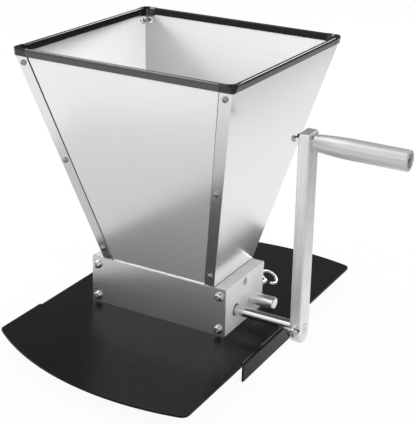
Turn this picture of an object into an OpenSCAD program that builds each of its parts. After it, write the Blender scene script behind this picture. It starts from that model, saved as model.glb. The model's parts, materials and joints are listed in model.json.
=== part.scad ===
// Hand cranked two roller malt mill on a base board that lies across a bucket.
// The origin is the centre of the discharge opening, in the plane of the board's underside.
// X runs along the rollers towards the crank, Y across them, Z up. Millimetres.

/* [Roller box] */
// Clear length between the end blocks
chamber_l = 128; // [110:1:150]
// Thickness of each end block
block_t = 13.5; // [12.5:0.5:18]
// Depth of the end blocks, front to back
body_d = 80.5; // [78:0.5:96]
// Height of the end blocks
body_h = 50.5; // [49:0.5:60]
// Thickness of the front and back plates
plate_t = 1.5; // [1:0.1:3]
// Height of the roller axes above the board
axis_h = 20.5; // [19.5:0.25:24]
// Place of the drive axis, front to back
drive_y = -18.2; // [-19:0.1:-16]
// Edge chamfer of the end blocks
block_chamfer = 0.7; // [0.3:0.1:1.5]

/* [Rollers] */
// Outer diameter of each roller
roller_d = 31.75; // [28:0.05:33]
// Gap between roller end and end block
roller_end_gap = 0.5; // [0.3:0.1:1.5]
// Mean gap between the two rollers
gap_mid = 1.4; // [1.4:0.1:2]
// Offset of the idler journals in their adjusters
eccentricity = 1.1; // [0.6:0.05:1.1]
// Number of flutes round each roller
flute_n = 36; // [24:1:48]
// Depth of a flute
flute_depth = 0.75; // [0.4:0.05:1.2]
// Twist of the flutes over the roller's length, in degrees
flute_twist = 66; // [0:2:120]
// Diameter of the drive shaft and of the idler shaft inside its roller
shaft_d = 10; // [8:0.5:11]
// Diameter of the idler journals
journal_d = 8; // [6:0.5:9]
// Clear hole round the drive shaft in the end blocks
shaft_hole_d = 13.2; // [12:0.1:14]
// Outer diameter of the drive bushes
bush_d = 16; // [15:0.5:18]
// Depth of the bushes behind the web
bush_sink = 2.5; // [0.1:0.1:4]
// Radial running clearance of shafts and journals
run_clear = 0.05; // [0.02:0.01:0.08]
// Radial clearance of fixed fits
fit_clear = 0.02; // [0.01:0.01:0.05]

/* [Gap adjusters] */
// Diameter of the eccentric boss inside the end block
boss_d = 20; // [18:0.5:22]
// Diameter of the stub that is turned by hand
stub_d = 12.5; // [11:0.5:14]
// Length of the stub outside the end block
stub_l = 27; // [20:1:40]
// Web left at the outer face of each end block
web_t = 2; // [1.5:0.1:2.5]
// Shank of the ring lock screw
ring_shank_d = 5; // [4:0.5:6]
// Mean radius of its ring
ring_r = 8.8; // [7:0.1:10]
// Wire of its ring
ring_wire_d = 3.4; // [2.4:0.1:3.8]
// Distance from the back face of the end block to the middle of the ring
ring_reach = 26.5; // [20:0.5:30]
// Turn of the ring about its shank at rest
ring_turn = -30; // [-90:5:90]

/* [Hopper] */
// Height of the hopper panels
hopper_h = 225; // [150:5:260]
// Width of the mouth over the panels, both ways
mouth_w = 227; // [190:1:240]
// Thickness of the sheet
sheet_t = 1; // [0.8:0.1:1.2]
// Depth of the skirt that enters the roller box
skirt_h = 8; // [7:0.5:9]
// Gap between the grain lips and the rollers
lip_gap = 1; // [0.8:0.1:2]
// Width of the seam strips at their foot
strip_foot = 10; // [8:0.5:11]
// Width of the seam strips at the rim
strip_head = 12.2; // [10:0.1:15]
// Distance of the lowest seam screws from the foot
seam_foot = 14.3; // [11:0.1:16]
// Distance of the highest seam screws from the rim
seam_rim = 12.7; // [11:0.1:16]
// Head of the seam screws
seam_head_d = 5.8; // [5:0.1:6.4]
// Height of the hopper's side screws below the block's top
side_screw_drop = 6.5; // [6:0.1:7]
// Counterbore of the hopper's side screws
side_bore_d = 8.4; // [6.2:0.1:8.8]

/* [Rim trim] */
// Thickness of the trim
trim_w = 4.4; // [4:0.1:5]
// Height of the trim on the sheet
trim_h = 7.6; // [6:0.1:9]
// Trim above the sheet's edge
trim_over = 1.5; // [1.2:0.1:3]
// Rounding of its top edges
trim_r = 1.9; // [1:0.1:2]
// Length of a corner cap along each side
cap_arm = 15; // [12:1:26]
// Outer corner radius of a cap at its top
cap_r = 7; // [6:0.5:7.5]
// Outer corner radius of a cap at its foot
cap_foot_r = 3.2; // [2.8:0.1:4]
// Inner corner radius of a cap
cap_inner_r = 6; // [3:0.5:8]
// Height of the cut at the panels' top corners
corner_clip = 5.5; // [5:0.1:6]

/* [Base board] */
// Width of the board between its straight sides
board_w = 236; // [225:1:250]
// Reach of the curved edges from the board's middle
board_reach = 193.5; // [170:0.5:220]
// Board's middle, in front of the discharge opening's centre
board_shift = 2; // [0:0.5:8]
// Radius of the curved edges
board_arc_r = 278; // [260:2:320]
// Place of the arcs' middle along the rollers
board_arc_x = 45; // [0:1:50]
// Radius of the board's corners
board_corner_r = 8; // [4:1:15]
// Thickness of the sheet
board_t = 2; // [1.5:0.1:3]
// Depth of the folded flanges, from the board's top
flange_h = 20; // [14:1:30]
// Length of the flanges
flange_l = 150; // [120:2:180]
// Outside radius of the fold
fold_r = 3.5; // [3:0.1:5]
// Length of the discharge opening, along the rollers
opening_l = 118; // [90:1:122]
// Width of the discharge opening
opening_w = 66; // [50:1:70]

/* [Crank] */
// Thickness of the arm
arm_t = 10.9; // [8:0.1:12]
// Width of the arm
arm_w = 21.2; // [18:0.1:26]
// Distance from the end block to the arm
arm_gap = 63.5; // [55:0.1:80]
// Distance from the shaft to the grip's axis
crank_r = 191; // [140:1:200]
// Arm below the shaft's axis
arm_tail = 15; // [13:0.1:18]
// Arm above the grip's axis
arm_head = 9.4; // [9:0.1:14]
// Lean of the arm from upright at rest, in degrees
crank_lean = -2.4; // [-20:0.2:20]
// Length of the grip
grip_l = 89; // [70:1:110]
// Diameter of the grip at the arm
grip_neck_d = 15.6; // [14:0.2:18]
// Diameter of the grip's outer part
grip_d = 19.4; // [16:0.2:24]
// Washer between arm and grip
washer_t = 1.4; // [1:0.1:2]
// Diameter of the grip's bolt
grip_bolt_d = 6; // [5:0.5:7]

/* [Screws] */
// Head of the plate screws
plate_head_d = 9; // [8:0.1:10]
// Shank of the plate and board screws
plate_screw_d = 5; // [4:0.5:5]
// Height of their heads
plate_head_t = 3.4; // [2.6:0.1:4]
// Length of the plate screws under the head
plate_screw_l = 10; // [8:0.5:11]
// Distance of the plate screws from the blocks' top and foot
plate_screw_edge = 7.6; // [7:0.1:9]
// Countersunk head of the board screws
board_head_d = 8.6; // [8:0.1:9.2]
// Length of the board screws in the blocks
board_screw_l = 7; // [6:0.5:9]
// Head of the arm's set screw
set_head_d = 12; // [9:0.5:13]
// Height of that head
set_head_t = 5.5; // [3:0.5:6]

/* [Hidden] */
$fn = 64;
eps = 0.01;

// Roller box, worked out from the sizes above
block_x = chamber_l / 2;
box_x = block_x + block_t;
box_z = board_t + body_h;
plate_y = body_d / 2 + plate_t;
axis_z = board_t + axis_h;
roller_r = roller_d / 2;
adjust_y = drive_y + roller_d + gap_mid;
idler_z = axis_z + eccentricity;
roller_l = chamber_l - 2 * roller_end_gap;
pocket_t = block_t - web_t;
pocket_gap = 0.2;
block_mid = block_x + block_t / 2;
plate_screw_drop = 0.5;
plate_screw_z = [board_t + plate_screw_edge, box_z - plate_screw_edge] -
    [plate_screw_drop, plate_screw_drop];
board_screw_y = 20;
board_head_sink = 0.1;
thread_clear = 0.05;
ring_x = block_x + pocket_t - ring_shank_d / 2 - 0.5;
ring_sweep = 328;

// Hopper: half sizes of the outer faces at foot and rim, and the slopes of the sheets
foot_x = block_x;
foot_y = body_d / 2;
mouth = mouth_w / 2;
tilt_front = atan((mouth - foot_y) / hopper_h);
tilt_side = atan((mouth - foot_x) / hopper_h);
slant_front = hopper_h / cos(tilt_front);
slant_side = hopper_h / cos(tilt_side);
skirt_clear = 0.1;
skirt_half_x = foot_x - sheet_t - skirt_clear;
skirt_half_y = foot_y - sheet_t - skirt_clear;
seam_n = 3;
seam_d = 3;
nut_t = 2.4;
nut_w = 5.5;
side_screw_d = 4;
side_screw_z = box_z - side_screw_drop;
side_head_t = 3;
side_bore_t = 6;
side_nut_w = 7;
side_nut_t = 3.2;
strip_lift = 1;
strip_r = 4;

// Rim
clip_share = 0.6;
cap_proud = 0.2;
trim_half = mouth + trim_w / 2 - sheet_t / 2 - cap_arm;

// Crank
arm_x = box_x + arm_gap;
arm_out = arm_x + arm_t;
grip_x = arm_out + washer_t;
grip_axis_y = drive_y + crank_r * sin(crank_lean);
grip_axis_z = axis_z + crank_r * cos(crank_lean);
grip_recess = 5;
grip_recess_d = 13;
grip_bolt_head_t = 3.6;
arm_nut_t = 5;

// Points of an arc, from angle a0 to a1
function arc(x, y, r, a0, a1, n) =
    [for (i = [0:n]) let (a = a0 + (a1 - a0) * i / n) [x + r * cos(a), y + r * sin(a)]];

// Outline of a rectangle with round corners, by half sizes
function round_rect(hx, hy, r, n = 6) = concat(
    arc(hx - r, hy - r, r, 0, 90, n), arc(r - hx, hy - r, r, 90, 180, n),
    arc(r - hx, r - hy, r, 180, 270, n), arc(hx - r, r - hy, r, 270, 360, n));

module along_x(x) translate([x, 0, 0]) rotate([0, 90, 0]) children();

module rod_x(d, x0, x1) along_x(x0) cylinder(d = d, h = x1 - x0);

// Mirrored copy for the left end of the mill
module left_end() mirror([1, 0, 0]) children();

// Domed screw with a cross recess: head on z > 0, shank down to -l
module pan_screw(head_d, head_t, d, l) {
    difference() {
        rotate_extrude() polygon(concat([[0, 0], [head_d / 2, 0]],
            arc(head_d / 2 - 0.55 * head_t, 0.35 * head_t, 0.55 * head_t, 0, 60, 3),
            [[0.3 * head_d, head_t], [0, head_t]]));
        for (a = [0, 90]) rotate([0, 0, a])
            translate([-0.28 * head_d, -0.07 * head_d, 0.4 * head_t])
                cube([0.56 * head_d, 0.14 * head_d, head_t]);
    }
    translate([0, 0, -l]) cylinder(d = d, h = l + 0.2);
}

module hex_nut(across, t, d) difference() {
    cylinder(d = across / cos(30), h = t, $fn = 6);
    translate([0, 0, -1]) cylinder(d = d, h = t + 2);
}

// Base board
board_half = board_w / 2;
arc_y = board_arc_r - board_reach;

// Middle of the corner rounding on side s, where the arc and the straight side meet
function corner_mid(s) = let (x = s * (board_half - board_corner_r))
    [x, arc_y - sqrt(pow(board_arc_r - board_corner_r, 2) - pow(x - board_arc_x, 2))];

function corner_angle(s) = let (c = corner_mid(s)) atan2(c[1] - arc_y, c[0] - board_arc_x);

function front_edge() = let (l = corner_mid(-1), r = corner_mid(1), al = corner_angle(-1),
        ar = corner_angle(1), n = 26, main = arc(board_arc_x, arc_y, board_arc_r, al, ar, n))
    concat(arc(l[0], l[1], board_corner_r, -180, al, 6), [for (i = [1:n - 1]) main[i]],
        arc(r[0], r[1], board_corner_r, ar, 0, 6));

function board_outline() = let (front = front_edge(), n = len(front))
    concat(front, [for (i = [n - 1:-1:0]) [front[i][0], -front[i][1]]]);

module flange() {
    inner_r = fold_r - board_t;
    translate([board_half - fold_r, -board_shift, board_t - fold_r]) rotate([90, 0, 0])
        linear_extrude(flange_l, center = true) {
            difference() {
                intersection() {
                    circle(r = fold_r, $fn = 48);
                    square(fold_r);
                }
                circle(r = inner_r, $fn = 48);
            }
            translate([-1, inner_r]) square([1, board_t]);
            translate([inner_r, fold_r - flange_h]) square([board_t, flange_h - fold_r]);
        }
}

module base_board() color([0.08, 0.08, 0.09]) {
    relief = 2;
    difference() {
        translate([0, -board_shift, 0]) linear_extrude(board_t) polygon(board_outline());
        translate([0, 0, -1]) linear_extrude(board_t + 2)
            polygon(round_rect(opening_l / 2, opening_w / 2, 5));
        for (s = [-1, 1]) {
            translate([s * board_half - (s > 0 ? fold_r : 1), -board_shift - flange_l / 2 - relief, -1])
                cube([fold_r + 1, flange_l + 2 * relief, board_t + 2]);
            for (y = [-1, 1]) translate([s * block_mid, y * board_screw_y, 0])
                board_screw_form(thread_clear, 1);
        }
    }
    flange();
    left_end() flange();
}

// Countersunk form of a board screw, drawn out by clear and carried past its ends by over
module board_screw_form(clear, over) {
    r = plate_screw_d / 2 + clear;
    cone = (board_head_d - plate_screw_d) / 2 + board_head_sink;
    low = over > 0 ? -over : board_head_sink;
    top = board_t + board_screw_l + over;
    rotate_extrude() polygon([[0, low], [r + cone - low, low], [r, cone], [r, top], [0, top]]);
}

module board_screws() color([0.8, 0.8, 0.82])
    for (x = [-1, 1], y = [-1, 1]) translate([x * block_mid, y * board_screw_y, 0])
        difference() {
            board_screw_form(0, 0);
            for (a = [0, 90]) rotate([0, 0, a]) translate([-2.4, -0.6, -1]) cube([4.8, 1.2, 2.2]);
        }

// Profile of an end block across the rollers, with chamfered edges
module block_profile() {
    c = block_chamfer;
    y = foot_y;
    polygon([[-y, c], [c - y, 0], [y - c, 0], [y, c], [y, body_h - c], [y - c, body_h],
        [c - y, body_h], [-y, body_h - c]]);
}

module end_block() difference() {
    translate([block_x, 0, board_t]) rotate([90, 0, 90]) linear_extrude(block_t) block_profile();
    translate([block_x, 0, box_z]) rotate([0, 45, 0])
        cube([block_chamfer * sqrt(2), body_d + 2, block_chamfer * sqrt(2)], center = true);
    translate([0, drive_y, axis_z]) {
        rod_x(shaft_hole_d, block_x - 1, box_x + 1);
        rod_x(bush_d, block_x - 1, block_x + pocket_t);
    }
    translate([0, adjust_y, axis_z]) {
        rod_x(stub_d + 2 * run_clear, block_x - 1, box_x + 1);
        rod_x(boss_d + 2 * run_clear, block_x - 1, block_x + pocket_t);
    }
    translate([0, 0, side_screw_z]) {
        rod_x(side_screw_d + 0.4, block_x - 1, box_x + 1);
        rod_x(side_bore_d, box_x - side_bore_t, box_x + 1);
    }
    for (y = [-1, 1]) {
        translate([block_mid, y * board_screw_y, 0]) board_screw_form(thread_clear, 1);
        for (z = plate_screw_z) translate([block_mid, y * (foot_y + 1), z]) rotate([y * 90, 0, 0])
            cylinder(d = plate_screw_d + 2 * thread_clear, h = plate_screw_l + 2);
    }
    translate([ring_x, foot_y + 1, axis_z]) rotate([90, 0, 0])
        cylinder(d = ring_shank_d + 2 * run_clear, h = foot_y + 1 - adjust_y);
}

module end_block_right() color([0.85, 0.85, 0.86]) end_block();
module end_block_left() color([0.85, 0.85, 0.86]) left_end() end_block();

// Plate over the roller box: front on side -1, back on side 1
module box_plate(side) difference() {
    translate([-box_x, side > 0 ? foot_y : -plate_y, board_t])
        cube([2 * box_x, plate_t, body_h]);
    for (x = [-1, 1]) {
        for (z = plate_screw_z) translate([x * block_mid, side * (plate_y + 1), z])
            rotate([side * 90, 0, 0]) cylinder(d = plate_screw_d + 0.4, h = plate_t + 2);
        if (side > 0) translate([x * ring_x, plate_y + 1, axis_z]) rotate([90, 0, 0])
            cylinder(d = ring_shank_d + 0.4, h = plate_t + 2);
    }
}

module front_plate() color([0.66, 0.67, 0.69]) box_plate(-1);
module back_plate() color([0.66, 0.67, 0.69]) box_plate(1);

module plate_screws(side) for (x = [-1, 1], z = plate_screw_z)
    translate([x * block_mid, side * plate_y, z]) rotate([-side * 90, 0, 0])
        pan_screw(plate_head_d, plate_head_t, plate_screw_d, plate_screw_l);

module front_plate_screws() color([0.8, 0.8, 0.82]) plate_screws(-1);
module back_plate_screws() color([0.8, 0.8, 0.82]) plate_screws(1);

// A sloping sheet's own frame on one side of the hopper: X along the foot, Y up the slope,
// Z outward from its outer face. Sides are counted from the front, towards the crank.
module on_slope(side) {
    half = side % 2 == 0 ? foot_y : foot_x;
    tilt = side % 2 == 0 ? tilt_front : tilt_side;
    rotate([0, 0, 90 * side]) translate([0, -half, box_z]) rotate([90 + tilt, 0, 0]) children();
}

// Ends of the slanting cut at a panel's top corner, at (x, w) in its sheet's frame, for a panel
// whose half width is foot at its lower edge: the rim's round corner caps hide it
function clip_low(x, w, foot) = [x - sign(x) * corner_clip * (mouth - foot) / w, w - corner_clip];
function clip_top(x, w) = [x - sign(x) * clip_share * corner_clip, w];

// Centres of the seam screws in the front sheet's frame, on the right half
seam_pitch = (slant_front - seam_foot - seam_rim) / (seam_n - 1);
function seam_at(i) = let (w = seam_foot + i * seam_pitch, f = w / slant_front)
    [foot_x + (mouth - foot_x) * f - (strip_foot + (strip_head - strip_foot) * f) / 2, w];

module at_seams() for (side = [0, 2]) on_slope(side) for (s = [-1, 1], i = [0:seam_n - 1])
    translate([s * seam_at(i)[0], seam_at(i)[1], 0]) children();

module seam_holes() at_seams() translate([0, 0, -3]) cylinder(d = seam_d + 0.3, h = 6, $fn = 24);

// Lip that leads the grain to the rollers: point at angle a round a roller axis
function lip_point(y, a, r) = [y + r * cos(a), axis_z + r * sin(a)];

// Skirt and grain lip below the front sheet (s = -1) or the back sheet (s = 1)
module skirt_and_lip(s) {
    y0 = s < 0 ? drive_y : adjust_y + eccentricity;
    a = s < 0 ? 128 : 52;
    r = roller_r + lip_gap + sheet_t + (s < 0 ? 0 : eccentricity);
    low = lip_point(y0, a, r - sheet_t);
    high = lip_point(y0, a, r);
    bend = box_z - skirt_h;
    translate([-skirt_half_x, 0, 0]) rotate([90, 0, 90]) linear_extrude(2 * skirt_half_x)
        polygon([[s * foot_y, box_z + 0.5], [s * foot_y, bend], low, high,
            [s * (foot_y - sheet_t), bend + 0.6], [s * (foot_y - sheet_t), box_z + 0.5]]);
}

module front_sheet(side) {
    inset = sheet_t / cos(tilt_side) + 0.05;
    difference() {
        union() {
            on_slope(side) translate([0, 0, -sheet_t]) linear_extrude(sheet_t)
                polygon([[inset - foot_x, 0], [foot_x - inset, 0],
                    clip_low(mouth - inset, slant_front, foot_x), clip_top(mouth - inset, slant_front),
                    clip_top(inset - mouth, slant_front), clip_low(inset - mouth, slant_front, foot_x)]);
            skirt_and_lip(side == 0 ? -1 : 1);
        }
        seam_holes();
    }
}

module hopper_front() color([0.78, 0.79, 0.8]) front_sheet(0);
module hopper_back() color([0.78, 0.79, 0.8]) front_sheet(2);

// Seam strip in the front sheet's frame, on the right half: its foot has round corners
module seam_strip() {
    function edge(w) = foot_x + (mouth - foot_x) * w / slant_front;
    function inner(w) = edge(w) - strip_foot - (strip_head - strip_foot) * w / slant_front;
    w = strip_lift;
    linear_extrude(sheet_t) polygon(concat(
        arc(inner(w) + strip_r, w + strip_r, strip_r, 180, 270, 5),
        arc(edge(w) - 1.5, w + 1.5, 1.5, 270, 348, 3),
        [clip_low(mouth, slant_front, foot_x), clip_top(mouth, slant_front),
            [inner(slant_front), slant_front]]));
}

module side_sheet() {
    wide = sheet_t / cos(tilt_front);
    difference() {
        union() {
            on_slope(1) translate([0, 0, -sheet_t]) linear_extrude(sheet_t)
                polygon([[-foot_y, 0], [foot_y, 0], [foot_y + wide, strip_lift],
                    clip_low(mouth + wide, slant_side, foot_y), clip_top(mouth + wide, slant_side),
                    clip_top(-mouth - wide, slant_side), clip_low(-mouth - wide, slant_side, foot_y),
                    [-foot_y - wide, strip_lift]]);
            on_slope(0) seam_strip();
            on_slope(2) mirror([1, 0, 0]) seam_strip();
            translate([foot_x - sheet_t, -skirt_half_y, box_z - skirt_h - 2])
                cube([sheet_t, 2 * skirt_half_y, skirt_h + 2.6]);
        }
        seam_holes();
        translate([0, 0, side_screw_z])
            rod_x(side_screw_d + 0.4, foot_x - sheet_t - 1, foot_x + 1);
    }
}

module hopper_right() color([0.8, 0.81, 0.82]) side_sheet();
module hopper_left() color([0.8, 0.81, 0.82]) left_end() side_sheet();

module seam_screws() color([0.8, 0.8, 0.82]) at_seams() translate([0, 0, sheet_t])
    pan_screw(seam_head_d, 2.2, seam_d, 2 * sheet_t + nut_t + 1);

module seam_nuts() color([0.75, 0.75, 0.77]) at_seams() translate([0, 0, -sheet_t - nut_t])
    hex_nut(nut_w, nut_t, seam_d + 2 * thread_clear);

module side_screw() translate([box_x - side_bore_t, 0, side_screw_z]) rotate([0, 90, 0]) {
    difference() {
        cylinder(d = side_bore_d - 0.4, h = side_head_t);
        translate([0, 0, 1]) cylinder(d = 3, h = side_head_t, $fn = 6);
    }
    shank = block_t - side_bore_t + sheet_t + side_nut_t + 0.8;
    translate([0, 0, -shank]) cylinder(d = side_screw_d, h = shank + 0.2);
}

module hopper_side_screws() color([0.3, 0.3, 0.32]) {
    side_screw();
    left_end() side_screw();
}

module side_nut() translate([foot_x - sheet_t - side_nut_t, 0, side_screw_z])
    rotate([0, 90, 0]) hex_nut(side_nut_w, side_nut_t, side_screw_d + 2 * thread_clear);

module hopper_side_nuts() color([0.75, 0.75, 0.77]) {
    side_nut();
    left_end() side_nut();
}

// Channel of black trim on the rim of one side, in its sheet's frame
module rim_trim(side) {
    slant = side % 2 == 0 ? slant_front : slant_side;
    r = trim_r;
    half = trim_w / 2;
    on_slope(side) translate([-trim_half + 0.05, slant, -sheet_t / 2]) rotate([0, 90, 0])
        linear_extrude(2 * trim_half - 0.1) difference() {
            polygon(concat(arc(half - r, trim_over - r, r, 0, 90, 5),
                arc(r - half, trim_over - r, r, 90, 180, 5),
                [[-half, trim_over - trim_h], [half, trim_over - trim_h]]));
            translate([-sheet_t / 2 - 0.05, trim_over - trim_h - 1])
                square([sheet_t + 0.1, trim_h - trim_over + 1.02]);
        }
}

module trim_front() color([0.05, 0.05, 0.05]) rim_trim(0);
module trim_right() color([0.05, 0.05, 0.05]) rim_trim(1);
module trim_back() color([0.05, 0.05, 0.05]) rim_trim(2);
module trim_left() color([0.05, 0.05, 0.05]) rim_trim(3);

// Half size of the rim at height z, on the sides whose foot is at foot, out from the panels by out
function rim_half(z, foot, out) = foot + (mouth - foot) * (z - box_z) / hopper_h + out;

// Round cornered slice of the rim at height z, drawn in by e
module rim_slice(z, out, r, e = 0) translate([0, 0, z]) linear_extrude(eps)
    polygon(round_rect(rim_half(z, foot_x, out) - e, rim_half(z, foot_y, out) - e, r - e, 6));

// Leaning block that the caps are cut from: a tight corner at its foot, a full one at its top
module cap_block(low, top, out) {
    foot_edge = 0.5;
    hull() {
        rim_slice(low, out, cap_foot_r, foot_edge);
        rim_slice(low + foot_edge, out, cap_foot_r);
        for (a = [0, 35, 65, 90])
            rim_slice(top - eps - trim_r * (1 - sin(a)), out, cap_r, trim_r * (1 - cos(a)));
    }
}

// Slot in the caps for the panel of one side, clear of its cut corners. The front and back slots
// hold the seam strips too, and the side slots the width of the side panels' folds.
module panel_slot(side) {
    clear = 0.08;
    front = side % 2 == 0;
    foot = front ? foot_x : foot_y;
    slant = (front ? slant_front : slant_side) + 0.02;
    low = slant - 20;
    x = mouth + 2 * clear + (front ? 0 : sheet_t / cos(tilt_front));
    half = x - (mouth - foot) * (slant - low) / slant;
    sheets = front ? 2 * sheet_t : sheet_t;
    on_slope(side) translate([0, 0, -sheet_t - clear]) linear_extrude(sheets + 2 * clear)
        polygon([[-half, low], [half, low], clip_low(x, slant, foot), clip_top(x, slant),
            clip_top(-x, slant), clip_low(-x, slant, foot)]);
}

module rim_corner_caps() color([0.05, 0.05, 0.05]) {
    top = box_z + hopper_h + trim_over + cap_proud;
    low = top - trim_h - 2 * cap_proud;
    wall = (trim_w - sheet_t) / 2 + cap_proud;
    reach = mouth + wall + 4;
    inner = -sheet_t - wall;
    chamfer = 0.7 * trim_r;
    cut = trim_half + 0.05;
    difference() {
        cap_block(low, top, wall);
        hull() for (z = [low - 1, top]) rim_slice(z, inner, cap_inner_r);
        hull() {
            rim_slice(top - chamfer, inner, cap_inner_r);
            rim_slice(top + chamfer, inner + 2 * chamfer, cap_inner_r + 2 * chamfer);
        }
        for (a = [0, 90]) rotate([0, 0, a]) translate([-cut, -reach, low - 1])
            cube([2 * cut, 2 * reach, top - low + 2]);
        for (side = [0:3]) panel_slot(side);
    }
}

module drive_bush() translate([0, drive_y, axis_z]) difference() {
    rod_x(bush_d - 2 * fit_clear, block_x + pocket_gap, block_x + pocket_t - bush_sink);
    rod_x(shaft_d + 2 * run_clear, block_x - 1, box_x);
}

module drive_bush_right() color([0.72, 0.55, 0.3]) drive_bush();
module drive_bush_left() color([0.72, 0.55, 0.3]) left_end() drive_bush();

module drive_shaft() color([0.75, 0.75, 0.77]) translate([0, drive_y, axis_z])
    rod_x(shaft_d, 1 - box_x, arm_out);

// Roller with helical flutes, turned round its bore; hand is 1 or -1
module fluted_roller(hand) {
    pitch = 360 / flute_n;
    land = 0.3;
    outline = [for (i = [0:flute_n - 1], k = [0:2]) let (
            a = pitch * (i + (k == 0 ? -land / 2 : k == 1 ? land / 2 : 0.5)),
            r = roller_r - (k == 2 ? flute_depth : 0)) [r * cos(a), r * sin(a)]];
    difference() {
        along_x(-roller_l / 2)
            linear_extrude(roller_l, twist = hand * flute_twist, slices = 12) polygon(outline);
        rod_x(shaft_d + 2 * fit_clear, -roller_l, roller_l);
    }
}

module drive_roller() color([0.55, 0.55, 0.57]) translate([0, drive_y, axis_z]) fluted_roller(1);
module idler_roller() color([0.55, 0.55, 0.57]) translate([0, adjust_y, idler_z]) fluted_roller(1);

module idler_shaft() color([0.75, 0.75, 0.77]) translate([0, adjust_y, idler_z]) {
    journal_x = block_x + pocket_t - 2.2;
    rod_x(journal_d, -journal_x, journal_x);
    rod_x(shaft_d, -block_x, block_x);
}

// Eccentric boss in the end block with the stub that is turned by hand
module adjuster() translate([0, adjust_y, axis_z]) {
    chamfer = 1;
    out = box_x + stub_l;
    difference() {
        union() {
            rod_x(boss_d, block_x + pocket_gap, block_x + pocket_t - 0.1);
            rod_x(stub_d, block_x + pocket_t - 1, out - chamfer);
            along_x(out - chamfer - eps)
                cylinder(d1 = stub_d, d2 = stub_d - 2 * chamfer, h = chamfer + eps);
        }
        translate([0, 0, eccentricity])
            rod_x(journal_d + 2 * run_clear, block_x - 1, block_x + pocket_t - 1.6);
    }
}

module adjuster_right() color([0.8, 0.8, 0.82]) adjuster();
module adjuster_left() color([0.8, 0.8, 0.82]) left_end() adjuster();

// Screw with an open ring of wire, its tip against the eccentric boss
module ring_screw() translate([ring_x, 0, axis_z]) {
    tip_y = adjust_y + boss_d / 2 + 0.15;
    ring_y = foot_y + ring_reach;
    translate([0, tip_y, 0]) rotate([-90, 0, 0])
        cylinder(d = ring_shank_d, h = ring_y - ring_r - tip_y, $fn = 32);
    translate([0, ring_y, 0]) rotate([0, -ring_turn, 0]) rotate([0, 0, -90 - ring_sweep])
        rotate_extrude(angle = ring_sweep, $fn = 48)
            translate([ring_r, 0]) circle(d = ring_wire_d, $fn = 20);
}

module ring_screw_right() color([0.78, 0.78, 0.8]) ring_screw();
module ring_screw_left() color([0.78, 0.78, 0.8]) left_end() ring_screw();

// The crank's own frame: shaft axis at the origin, the arm up along Z
module on_crank() translate([0, drive_y, axis_z]) rotate([-crank_lean, 0, 0]) children();

// Outline of the arm, drawn in by the edge rounding e
module arm_outline(e) {
    half = arm_w / 2 - e;
    top = crank_r + arm_head - e;
    corner = 3;
    polygon(concat(arc(0, arm_w / 2 - arm_tail, half, 180, 360, 16),
        arc(half - corner, top - corner, corner, 0, 90, 4),
        arc(corner - half, top - corner, corner, 90, 180, 4)));
}

module crank_arm() color([0.86, 0.86, 0.87]) on_crank() difference() {
    edge = 0.9;
    hull() {
        along_x(arm_x) rotate([0, 0, 90]) linear_extrude(eps) arm_outline(edge);
        along_x(arm_x + edge) rotate([0, 0, 90]) linear_extrude(arm_t - 2 * edge) arm_outline(0);
        along_x(arm_out - eps) rotate([0, 0, 90]) linear_extrude(eps) arm_outline(edge);
    }
    rod_x(shaft_d + 2 * fit_clear, arm_x - 1, arm_out + 1);
    translate([0, 0, crank_r]) rod_x(grip_bolt_d + 2 * fit_clear, arm_x - 1, arm_out + 1);
    translate([arm_x + arm_t / 2, 0, 0]) rotate([90, 0, 0])
        cylinder(d = 6 + 2 * thread_clear, h = arm_w);
}

module crank_set_screw() color([0.8, 0.8, 0.82]) on_crank()
    translate([arm_x + arm_t / 2, -arm_w / 2, 0]) rotate([90, 0, 0])
        pan_screw(set_head_d, set_head_t, 6, arm_w / 2 - shaft_d / 2 - 0.1);

module at_grip(x) on_crank() translate([x, 0, crank_r]) rotate([0, 90, 0]) children();

module grip_bolt() color([0.78, 0.78, 0.8]) {
    seat = grip_x + grip_l - grip_recess;
    at_grip(arm_x - arm_nut_t - 5.5) cylinder(d = grip_bolt_d, h = seat - arm_x + arm_nut_t + 5.6);
    at_grip(seat + 0.05) difference() {
        cylinder(d = 1.7 * grip_bolt_d, h = grip_bolt_head_t);
        translate([0, 0, 1.4]) cylinder(d = 5, h = grip_bolt_head_t, $fn = 6);
    }
}

module grip_nut() color([0.75, 0.75, 0.77]) at_grip(arm_x - arm_nut_t)
    hex_nut(10, arm_nut_t, grip_bolt_d + 2 * fit_clear);

module grip_washer() color([0.75, 0.75, 0.77]) at_grip(arm_out) difference() {
    cylinder(d = 2 * grip_bolt_d + 1, h = washer_t - 0.1);
    translate([0, 0, -1]) cylinder(d = grip_bolt_d + 2 * fit_clear, h = washer_t + 2);
}

// Turned grip: slim at the arm, full over its outer half, hollow at the outer end
module grip() color([0.82, 0.82, 0.83]) at_grip(grip_x) {
    r = grip_d / 2;
    neck = grip_neck_d / 2;
    taper = 0.42 * grip_l;
    difference() {
        rotate_extrude() polygon(concat([[0, 0], [neck - 0.8, 0], [neck, 0.8]],
            [for (i = [1:8]) let (f = i / 8) [neck + (r - neck) * sin(90 * f), 0.8 + taper * f]],
            [[r, grip_l - 1.4], [r - 1.2, grip_l], [0, grip_l]]));
        translate([0, 0, -1]) cylinder(d = grip_bolt_d + 2 * run_clear, h = grip_l + 2);
        translate([0, 0, grip_l - grip_recess]) cylinder(d = grip_recess_d, h = grip_recess + 1);
    }
}

base_board();
board_screws();
end_block_right();
end_block_left();
front_plate();
back_plate();
front_plate_screws();
back_plate_screws();
hopper_front();
hopper_back();
hopper_right();
hopper_left();
seam_screws();
seam_nuts();
hopper_side_screws();
hopper_side_nuts();
trim_front();
trim_back();
trim_right();
trim_left();
rim_corner_caps();
drive_bush_right();
drive_bush_left();
drive_shaft();
drive_roller();
idler_shaft();
idler_roller();
adjuster_right();
adjuster_left();
ring_screw_right();
ring_screw_left();
crank_arm();
crank_set_screw();
grip_bolt();
grip_nut();
grip_washer();
grip();
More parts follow.
